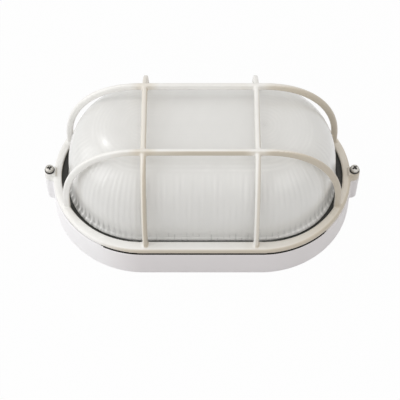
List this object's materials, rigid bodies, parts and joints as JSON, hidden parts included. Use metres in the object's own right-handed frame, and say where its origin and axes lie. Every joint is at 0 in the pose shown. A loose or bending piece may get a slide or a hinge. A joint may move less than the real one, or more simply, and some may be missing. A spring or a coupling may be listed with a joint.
{
  "type": "bulkhead wall light",
  "caption": "Oval bulkhead wall light: painted cast base, ribbed glass bowl in a rubber gasket, and a cast guard of crossed bars held by a screw at each end.",
  "frame": {"origin": "centre of the flat back of the base, which goes against the wall", "axes": "+Z out of the wall, through the glass; +X along the light, from the lampholder's end towards the lamp's round end; +Y across it"},
  "size_m": [0.2214, 0.129, 0.096],
  "materials": {
    "base_paint": "satin white powder coat",
    "guard_paint": "satin warm white powder coat",
    "glass": "pressed, ribbed inside",
    "rubber": "matte",
    "steel": "zinc plated",
    "sheet": "zinc plated sheet",
    "ceramic": "glazed",
    "brass": "bright",
    "lamp": "frosted",
    "nylon": "matte",
    "brown_wire": "matte insulation",
    "blue_wire": "matte insulation"
  },
  "bodies": {
    "root": {"base_housing": "base_paint", "bracket_screw_1": "steel", "bracket_screw_2": "steel", "cable_grommet": "rubber", "earth_screw": "steel", "earth_washer": "steel", "glass_diffuser": "glass", "glass_gasket": "rubber", "guard": "guard_paint", "guard_screw_left": "steel", "guard_screw_right": "steel", "guard_washer_left": "steel", "guard_washer_right": "steel", "lamp": "lamp", "lamp_bracket": "sheet", "lampholder_body": "ceramic", "lampholder_contact": "brass", "lampholder_screw_1": "steel", "lampholder_screw_2": "steel", "lampholder_shell": "brass", "terminal_block": "nylon", "terminal_fixing_screw": "steel", "terminal_screw_1": "steel", "terminal_screw_2": "steel", "terminal_screw_3": "steel", "terminal_screw_4": "steel", "terminal_tube_live": "brass", "terminal_tube_neutral": "brass", "wire_live": "brown_wire", "wire_neutral": "blue_wire"}
  },
  "joints": []
}
